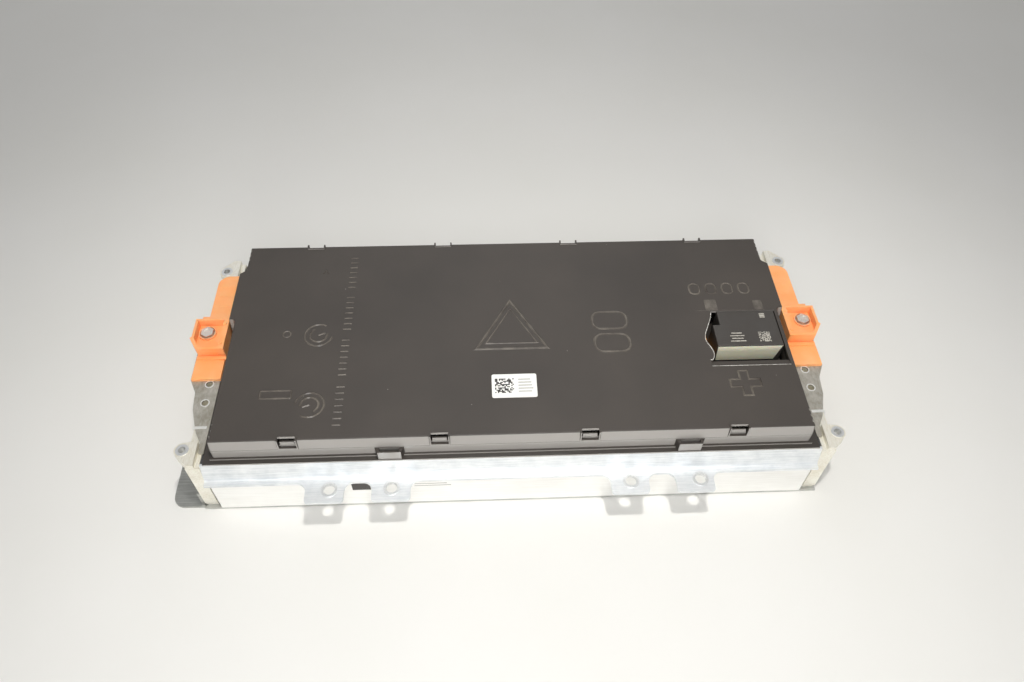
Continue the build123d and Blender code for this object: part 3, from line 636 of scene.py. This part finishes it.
class ModuleColours(bpy.types.PropertyGroup):
    """Colours of the module's finishes and of the stage."""
    cover: FloatVectorProperty(
        name="Cover", description="Plastic cover", subtype="COLOR", size=3, min=0, max=1,
        default=linear("#3b3632"))
    cover_pale: FloatVectorProperty(
        name="Cover, paler", description="Paler flow marks in the cover", subtype="COLOR",
        size=3, min=0, max=1, default=linear("#453f3a"))
    # Paler colour of the raised marks, a painted highlight for their glints; the worn patches use
    # it too.
    relief_glint_and_wear: FloatVectorProperty(
        name="Relief", description="Rubbed marks on the cover", subtype="COLOR", size=3, min=0,
        max=1, default=linear("#6b655d"))
    # Paler colour of the front faces of cover and carrier: a painted highlight.
    skirt_highlight: FloatVectorProperty(
        name="Skirt", description="Polished front faces of cover and carrier", subtype="COLOR",
        size=3, min=0, max=1, default=linear("#a5a19c"))
    carrier: FloatVectorProperty(
        name="Carrier", description="Carrier under the cover", subtype="COLOR", size=3, min=0,
        max=1, default=linear("#37332f"))
    unit: FloatVectorProperty(
        name="Monitoring unit", description="Housing of the monitoring unit", subtype="COLOR",
        size=3, min=0, max=1, default=linear("#403d3a"))
    header: FloatVectorProperty(
        name="Connector header", description="Plastic of the header", subtype="COLOR", size=3,
        min=0, max=1, default=linear("#fffae0"))
    shroud: FloatVectorProperty(
        name="Shroud", description="Orange of the terminal shrouds", subtype="COLOR", size=3,
        min=0, max=1, default=linear("#ffb67c"))
    shroud_deep: FloatVectorProperty(
        name="Shroud, deeper", description="Deeper flow marks in the shrouds", subtype="COLOR",
        size=3, min=0, max=1, default=linear("#ffa764"))
    aluminium: FloatVectorProperty(
        name="Aluminium", description="Rails of the frame", subtype="COLOR", size=3, min=0,
        max=1, default=linear("#fbfbf9"))
    label: FloatVectorProperty(
        name="Label", description="Paper of the label", subtype="COLOR", size=3, min=0, max=1,
        default=linear("#f4f3ef"))
    dark_ink: FloatVectorProperty(
        name="Dark ink", description="Print on the label", subtype="COLOR", size=3, min=0,
        max=1, default=linear("#2c2927"))
    pale_mark: FloatVectorProperty(
        name="Pale mark", description="Laser marks on the unit", subtype="COLOR", size=3, min=0,
        max=1, default=linear("#c8c4ba"))
    floor: FloatVectorProperty(
        name="Floor", description="Stage floor", subtype="COLOR", size=3, min=0, max=1,
        default=linear("#e3e2df"))


# ------------------------------------------------------------------ pieces
class BATTERYMODULE_OT_finishes(bpy.types.Operator):
    """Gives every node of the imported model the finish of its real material"""
    bl_idname = "batterymodule.finishes"
    bl_label = "Finishes"

    def execute(self, context):
        colours = context.scene.module_colours
        for name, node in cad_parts.items():
            make = next((make for start, make in FINISH_OF_NODE if name.startswith(start)), None)
            if make is None:
                raise RuntimeError(f"no finish is named for {name}")
            node.data.materials.clear()
            node.data.materials.append(finish(make, colours))
        return {"FINISHED"}


class BATTERYMODULE_OT_cover_relief(bpy.types.Operator):
    """Moulded marks on the cover: triangle, polarity marks, dials, dashes and plain frames"""
    bl_idname = "batterymodule.cover_relief"
    bl_label = "Cover relief"

    def execute(self, context):
        sizes, colours = context.scene.module_sizes, context.scene.module_colours
        rise, width, z = sizes.relief_rise, sizes.relief_width, COVER_TOP
        # The marks' paler finish is a painted highlight for the glints on their slopes.
        relief_painted_glint = finish(relief_polypropylene, colours)

        def triangle(bm):
            for share, lift, line, height in ((1, 0, 1.3, 1), (0.72, 7.0 * MM, 0.8, 0.6)):
                half, foot = sizes.triangle_width / 2 * share, TRIANGLE_FOOT + lift
                ridge(bm, [(TRIANGLE_X - half, foot), (TRIANGLE_X + half, foot),
                           (TRIANGLE_X, foot + sizes.triangle_height * share)], line * width,
                      height * rise, z, closed=True)

        def polarity(bm):
            half, arm = 4.5 * MM, 15 * MM
            ridge(bm, rounded(-POLARITY_X, POLARITY_ROW, 2 * arm, 2 * half, 1 * MM), width, rise,
                  z, closed=True)
            corner = [(half, half), (arm, half), (arm, -half)]
            cross = []
            for _ in range(4):
                cross += corner
                corner = [(py, -px) for px, py in corner]
            ridge(bm, [(POLARITY_X + px, POLARITY_ROW + py) for px, py in cross], width, rise, z,
                  closed=True)

        def dial(bm, x, y, radius, turn):
            ridge(bm, circle(x, y, radius, start=turn + 40, sweep=290), width, rise, z)
            ridge(bm, circle(x, y, 0.62 * radius, start=turn + 100, sweep=250), width, rise, z)
            tip = circle(x, y, 0.5 * radius, steps=4, start=turn)[0]
            ridge(bm, [(x, y), tip], width, rise, z)

        def dials(bm):
            thin = 0.7
            for x, y, turn in DIALS:
                dial(bm, x, y, sizes.dial_radius, turn)
            ridge(bm, circle(*SMALL_RING, steps=20), thin * width, thin * rise, z, closed=True)
            half, height = CARET_SIZE
            ridge(bm, [(CARET_X - half, CARET_FOOT), (CARET_X, CARET_FOOT + height),
                       (CARET_X + half, CARET_FOOT)], thin * width, thin * rise, z)

        def dashes(bm):
            gap_every, half = 8, 4 * MM
            for i in range(sizes.dash_count):
                if i % gap_every == gap_every - 1:
                    continue
                y = FIRST_DASH + (LAST_DASH - FIRST_DASH) * i / (sizes.dash_count - 1)
                ridge(bm, [(DASH_COLUMN - half, y), (DASH_COLUMN + half, y)], 0.9 * width,
                      0.8 * rise, z)

        def worn_patches(bm):
            for x0, x1, y0, y1 in WORN_PATCHES:
                pad(bm, (x0 + x1) / 2 * MM, (y0 + y1) / 2 * MM, (x1 - x0) * MM, (y1 - y0) * MM,
                    0.05 * MM, z, corner=1.5 * MM, slope=0.1 * MM)
            ridge(bm, [(197 * MM, 23.6 * MM), (272 * MM, 23.6 * MM)], 0.6 * MM, 0.1 * MM, z)

        def plain_frames(bm):
            # two large and four small plain frames where the mould has moulded figures
            for y in LARGE_FRAME_ROWS:
                ridge(bm, rounded(LARGE_FRAMES_X, y, 36 * MM, 23 * MM, 9 * MM), 1.3 * width, rise,
                      z, closed=True)
            for i in range(4):
                x = (SMALL_FRAMES_START + SMALL_FRAMES_PITCH * i) * MM
                ridge(bm, rounded(x, SMALL_FRAMES_ROW * MM, 11 * MM, 15 * MM, 5 * MM), width,
                      rise, z, closed=True)

        for name, builder in (("triangle_outline", triangle), ("polarity_marks", polarity),
                              ("mould_dials", dials), ("moulded_dashes", dashes),
                              ("plain_frames", plain_frames)):
            place_piece(name, builder, relief_painted_glint)
        place_piece("worn_patches", worn_patches, finish(worn_polypropylene, colours))
        return {"FINISHED"}


class BATTERYMODULE_OT_label(bpy.types.Operator):
    """White label with a generic block of small squares and light strokes"""
    bl_idname = "batterymodule.label"
    bl_label = "Label"

    def execute(self, context):
        sizes, colours = context.scene.module_sizes, context.scene.module_colours
        x, y = 1.5 * MM, -68 * MM
        paper = 0.12 * MM
        length, depth, proud = sizes.label_length, sizes.label_depth, sizes.print_thickness
        place_piece("label", lambda bm: pad(bm, x, y, length, depth, paper, COVER_TOP,
                                            corner=2 * MM, slope=0.05 * MM),
                    finish(label_paper, colours))
        place_piece("label_code", lambda bm: scattered_cells(
            bm, x - 0.22 * length, y, 0.42 * length, 0.6 * depth, 14, COVER_TOP + paper, proud,
            seed=11, share=0.55), finish(dark_ink, colours))

        def strokes(bm):
            chance = random.Random(5)
            for i in range(5):
                run = (7 + 8 * chance.random()) * MM
                pad(bm, x + 0.09 * length + run / 2, y + (7.5 - 3.6 * i) * MM, run, 1.2 * MM,
                    proud, COVER_TOP + paper, corner=INK_CORNER, slope=INK_SLOPE)

        place_piece("label_strokes", strokes, finish(grey_ink, colours))
        return {"FINISHED"}


class BATTERYMODULE_OT_printed_marks(bpy.types.Operator):
    """Laser marks on the monitoring unit and the print on the front rail"""
    bl_idname = "batterymodule.printed_marks"
    bl_label = "Printed marks"

    def execute(self, context):
        sizes, colours = context.scene.module_sizes, context.scene.module_colours
        proud, top = sizes.print_thickness, UNIT_TOP

        def unit_marks(bm):
            for i in range(4):
                run = (11 + (4 * i) % 7) * MM
                pad(bm, 234.5 * MM, (-8.5 - 3.5 * i) * MM, run, 1.3 * MM, proud, top,
                    corner=INK_CORNER, slope=INK_SLOPE)
            scattered_cells(bm, 263 * MM, -14 * MM, 12 * MM, 13 * MM, 13, top, proud, seed=3,
                            share=0.6)
            for i in range(3):
                pad(bm, 266.5 * MM, (17 - 2.2 * i) * MM, 5.5 * MM, 1.7 * MM, proud, top,
                    corner=INK_CORNER, slope=INK_SLOPE)

        def rail_block(bm):
            upright_patch(bm, -160 * MM, -142 * MM, 31 * MM, 48 * MM, rail_low.y, proud)

        def rail_strokes(bm):
            for i in range(4):
                end = (-62 - (9 * i) % 13) * MM
                upright_patch(bm, -99 * MM, end, (47.5 - 4 * i) * MM, (48.7 - 4 * i) * MM,
                              rail_low.y, proud)

        place_piece("unit_marks", unit_marks, finish(laser_foamed_mark, colours))
        place_piece("rail_block", rail_block, finish(dark_ink, colours))
        place_piece("rail_strokes", rail_strokes, finish(grey_ink, colours))
        return {"FINISHED"}


class BATTERYMODULE_OT_torn_edge(bpy.types.Operator):
    """Painted highlight: a white bead along the torn side of the cover's well and along its front
    lip
    """
    bl_idname = "batterymodule.torn_edge"
    bl_label = "Torn edge"

    def execute(self, context):
        colours = context.scene.module_colours
        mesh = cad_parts["top_cover"].data
        places = {}
        for face in mesh.polygons:
            for key in face.edge_keys:
                ends = [mesh.vertices[i].co for i in key]
                same = tuple(sorted(tuple(round(c / (0.01 * MM)) for c in end) for end in ends))
                places.setdefault(same, []).append((ends, face.normal))

        def sharp_edges(low, high):
            for sides in places.values():
                ends = sides[0][0]
                inside = all(low[i] - SUNK <= end[i] <= high[i] + SUNK for end in ends
                             for i in range(3))
                if not inside or len(sides) < 2:
                    continue
                if min(a[1].dot(b[1]) for a in sides for b in sides) < SHARP_DOT:
                    yield [Vector(end) for end in ends]

        def edge_bead(bm, low, high, radius):
            for one, other in sharp_edges(low, high):
                if (other - one).length > 0.05 * MM:
                    tube(bm, [one, other], radius, sides=6)

        def left_rim(bm):
            edge_bead(bm, (WELL_LEFT, WELL_FRONT, COVER_TOP),
                      (WELL_TORN_RIGHT, WELL_REAR, COVER_TOP), 0.42 * MM)

        def front_lip(bm):
            edge_bead(bm, (WELL_LEFT, LIP_FRONT, COVER_TOP), (WELL_RIGHT, LIP_REAR, COVER_TOP),
                      0.3 * MM)

        edge_highlight_finish = finish(painted_edge_highlight, colours)
        for name, builder in (("torn_rim_highlight", left_rim), ("well_front_lip_highlight", front_lip)):
            piece = place_piece(name, builder, edge_highlight_finish, smooth=True)
            if not piece.data.polygons:
                raise RuntimeError(f"{name} found no edge of the cover to follow")
        return {"FINISHED"}


class BATTERYMODULE_OT_weld_beads(bpy.types.Operator):
    """Rippled beads along the joints between the rails and the end plates"""
    bl_idname = "batterymodule.weld_beads"
    bl_label = "Weld beads"

    def execute(self, context):
        sizes, colours = context.scene.module_sizes, context.scene.module_colours
        joint = (rail_high.x + plate_low.x) / 2
        ripple, ripple_steps, ripple_depth = 2.4 * MM, 6, 0.12

        def bead(bm, x, y, z0, z1):
            steps = int((z1 - z0) / (ripple / ripple_steps))
            points = [(x, y, z0 + (z1 - z0) * k / steps) for k in range(steps + 1)]
            radii = [sizes.weld_radius * (1 - ripple_depth
                                          + ripple_depth * math.cos(math.tau * k / ripple_steps))
                     for k in range(steps + 1)]
            tube(bm, points, radii, sides=12)

        def beads(bm):
            inset = 1.6 * MM
            margin = 3 * MM
            for side in (-1, 1):
                bead(bm, side * joint, plate_low.y + inset, rail_low.z + margin,
                     rail_high.z - margin)
                bead(bm, side * joint, plate_high.y - inset, rear_rail_low.z + margin,
                     rear_rail_high.z - margin)

        place_piece("weld_beads", beads, finish(weld_aluminium, colours),
                    smooth=True)
        return {"FINISHED"}


class BATTERYMODULE_OT_shroud_details(bpy.types.Operator):
    """Ribs, pegs and the ring round the screw in each orange shroud"""
    bl_idname = "batterymodule.shroud_details"
    bl_label = "Shroud details"

    def execute(self, context):
        colours = context.scene.module_colours
        orange = finish(shroud_polyamide, colours)
        washer_radius, arm_height = 7.5 * MM, 10.5 * MM
        rib_width, rib_rise, peg_rise = 1.2 * MM, 0.35 * MM, 0.8 * MM
        x, y = bolt_high.x - washer_radius, (bolt_low.y + bolt_high.y) / 2
        arm_top = SHEET_TOP + arm_height

        def ribs(side):
            def build(bm):
                for i in range(3):
                    row = (60 + 14 * i) * MM
                    ridge(bm, [(side * 300 * MM, row), (side * 316 * MM, row)], rib_width,
                          rib_rise, arm_top)
                ridge(bm, [(side * 299 * MM, 48 * MM), (side * 299 * MM, 98 * MM)], rib_width,
                      rib_rise, arm_top)
                for peg_y in (4.5, 30.5):
                    pad(bm, side * 300 * MM, peg_y * MM, 4 * MM, 3 * MM, peg_rise, SHROUD_TOP)
                pad(bm, side * 327 * MM, 36.4 * MM, 7 * MM, 2.2 * MM, peg_rise, SHROUD_TOP)
            return build

        def ring(side):
            def build(bm):
                ring_solid(bm, side * x, y, 8.0 * MM, 9.0 * MM, SHEET_TOP + 2 * MM,
                           SHEET_TOP + 8 * MM)
            return build

        for side, name in ((1, "right"), (-1, "left")):
            place_piece("shroud_ribs_" + name, ribs(side), orange)
            place_piece("screw_ring_" + name, ring(side), finish(collar_polyamide, colours))
        return {"FINISHED"}


class BATTERYMODULE_OT_end_sheet_bends(bpy.types.Operator):
    """Painted highlights on the bends and hole rims of the grey end sheets"""
    bl_idname = "batterymodule.end_sheet_bends"
    bl_label = "End sheet bends"

    def execute(self, context):
        colours = context.scene.module_colours
        hole_x, hole_rows = 307 * MM, (-37 * MM, -60 * MM)

        def bends(side):
            def build(bm):
                pad(bm, side * 306.5 * MM, -89 * MM, 14 * MM, 3.4 * MM, 0.15 * MM, SHEET_TOP)
                for hole_y in hole_rows:
                    ring_solid(bm, side * hole_x, hole_y, 3.5 * MM, 4.6 * MM, SHEET_TOP - SUNK,
                               SHEET_TOP + 0.35 * MM)
            return build

        for side, name in ((1, "right"), (-1, "left")):
            place_piece("end_sheet_bend_highlight_" + name, bends(side), finish(bend_painted_highlight_metal, colours))
        return {"FINISHED"}


class BATTERYMODULE_OT_stage(bpy.types.Operator):
    """Plain floor, soft lights and the camera"""
    bl_idname = "batterymodule.stage"
    bl_label = "Stage"

    def execute(self, context):
        scene, colours = context.scene, context.scene.module_colours
        half, steps = 4.0, 24          # floor's half side in metres, and its divisions
        mesh = bpy.data.meshes.new("floor")
        bm = bmesh.new()
        bmesh.ops.create_grid(bm, x_segments=steps, y_segments=steps, size=half)
        bm.to_mesh(mesh)
        bm.free()
        mesh.materials.append(finish(stage_paper, colours))
        floor = bpy.data.objects.new("floor", mesh)
        scene.collection.objects.link(floor)

        world = bpy.data.worlds.new("soft_room")
        world.use_nodes = True
        tree = world.node_tree
        tree.nodes.clear()
        place = add(tree, "ShaderNodeTexCoord").outputs["Generated"]
        height = add(tree, "ShaderNodeSeparateXYZ", links={"Vector": place})
        share = add(tree, "ShaderNodeMapRange", {"From Min": 0.0, "From Max": 0.9},
                    {"Value": height.outputs["Z"]})
        sky = add(tree, "ShaderNodeMix",
                  {6: opaque(linear("#d4d3d0")), 7: opaque(linear("#ffffff"))},
                  {0: share.outputs["Result"]}, data_type="RGBA")
        back = add(tree, "ShaderNodeBackground", {"Strength": 0.36},
                   {"Color": sky.outputs[2]})
        add(tree, "ShaderNodeOutputWorld", links={"Surface": back.outputs["Background"]})
        scene.world = world

        def area(name, place, aim, width, power, colour, spread=180):
            light = bpy.data.lights.new(name, "AREA")
            light.shape, light.size, light.energy, light.color = "DISK", width, power, colour
            light.spread = math.radians(spread)
            made = bpy.data.objects.new(name, light)
            made.location = place
            run = Vector(aim) - Vector(place)
            made.rotation_euler = run.to_track_quat("-Z", "Y").to_euler()
            scene.collection.objects.link(made)

        area("back_fill", (0.0, 1.3, 1.4), (0.0, 0.0, 0.05), 1.6, 6.0, linear("#ffffff"))
        area("front_fill", (-0.1, -1.15, 1.2), (0.0, -0.1, 0.08), 0.7, 7.0, linear("#ffffff"))
        area("low_fill", (0.0, -1.9, 0.5), (0.0, -0.1, 0.12), 0.8, 1.4, linear("#ffffff"),
             spread=50)
        flash = bpy.data.lights.new("key", "SPOT")
        flash.energy, flash.color = 42.0, linear("#fffdf8")
        flash.shadow_soft_size, flash.spot_size, flash.spot_blend = 0.045, math.radians(80), 1.0
        key = bpy.data.objects.new("key", flash)
        key.location = (0.09, -0.27, 1.42)
        key.rotation_euler = (Vector((0.04, -0.22, 0)) - key.location).to_track_quat(
            "-Z", "Y").to_euler()
        scene.collection.objects.link(key)

        lens = bpy.data.cameras.new("camera")
        lens.sensor_width, lens.lens = 36.0, 27.9953
        camera = bpy.data.objects.new("camera", lens)
        stand = (-28.045 * MM, -523.568 * MM, 736.994 * MM)
        turn, looks_down, roll = -3.298, 51.041, 1.226        # degrees
        camera.matrix_world = (
            Matrix.Translation(stand)
            @ Matrix.Rotation(math.radians(turn), 4, "Z")
            @ Matrix.Rotation(math.radians(90 - looks_down), 4, "X")
            @ Matrix.Rotation(math.radians(roll), 4, "Z"))
        scene.collection.objects.link(camera)
        scene.camera = camera
        scene.view_settings.view_transform = "Standard"
        scene.view_settings.look = "None"
        scene.view_settings.exposure = 0.0
        return {"FINISHED"}


class BATTERYMODULE_PT_panel(bpy.types.Panel):
    """Lists the module's settings and pieces"""
    bl_idname = "BATTERYMODULE_PT_panel"
    bl_label = "Battery module"
    bl_space_type = "VIEW_3D"
    bl_region_type = "UI"
    bl_category = "Module"

    def draw(self, context):
        column = self.layout.column()
        for group in (context.scene.module_sizes, context.scene.module_colours):
            for name in group.__annotations__:
                column.prop(group, name)
            column.separator()
        for step in STEPS:
            column.operator(step.bl_idname)


STEPS = (
    BATTERYMODULE_OT_finishes,
    BATTERYMODULE_OT_cover_relief,
    BATTERYMODULE_OT_label,
    BATTERYMODULE_OT_printed_marks,
    BATTERYMODULE_OT_torn_edge,
    BATTERYMODULE_OT_weld_beads,
    BATTERYMODULE_OT_shroud_details,
    BATTERYMODULE_OT_end_sheet_bends,
    BATTERYMODULE_OT_stage,
)
CLASSES = (ModuleSizes, ModuleColours) + STEPS + (BATTERYMODULE_PT_panel,)


def register():
    for one in CLASSES:
        bpy.utils.register_class(one)
    bpy.types.Scene.module_sizes = PointerProperty(type=ModuleSizes)
    bpy.types.Scene.module_colours = PointerProperty(type=ModuleColours)


def unregister():
    del bpy.types.Scene.module_colours
    del bpy.types.Scene.module_sizes
    for one in reversed(CLASSES):
        bpy.utils.unregister_class(one)


def main():
    register()
    bpy.ops.batterymodule.finishes()
    bpy.ops.batterymodule.cover_relief()
    bpy.ops.batterymodule.label()
    bpy.ops.batterymodule.printed_marks()
    bpy.ops.batterymodule.torn_edge()
    bpy.ops.batterymodule.weld_beads()
    bpy.ops.batterymodule.shroud_details()
    bpy.ops.batterymodule.end_sheet_bends()
    bpy.ops.batterymodule.stage()


if __name__ == "__main__":
    main()
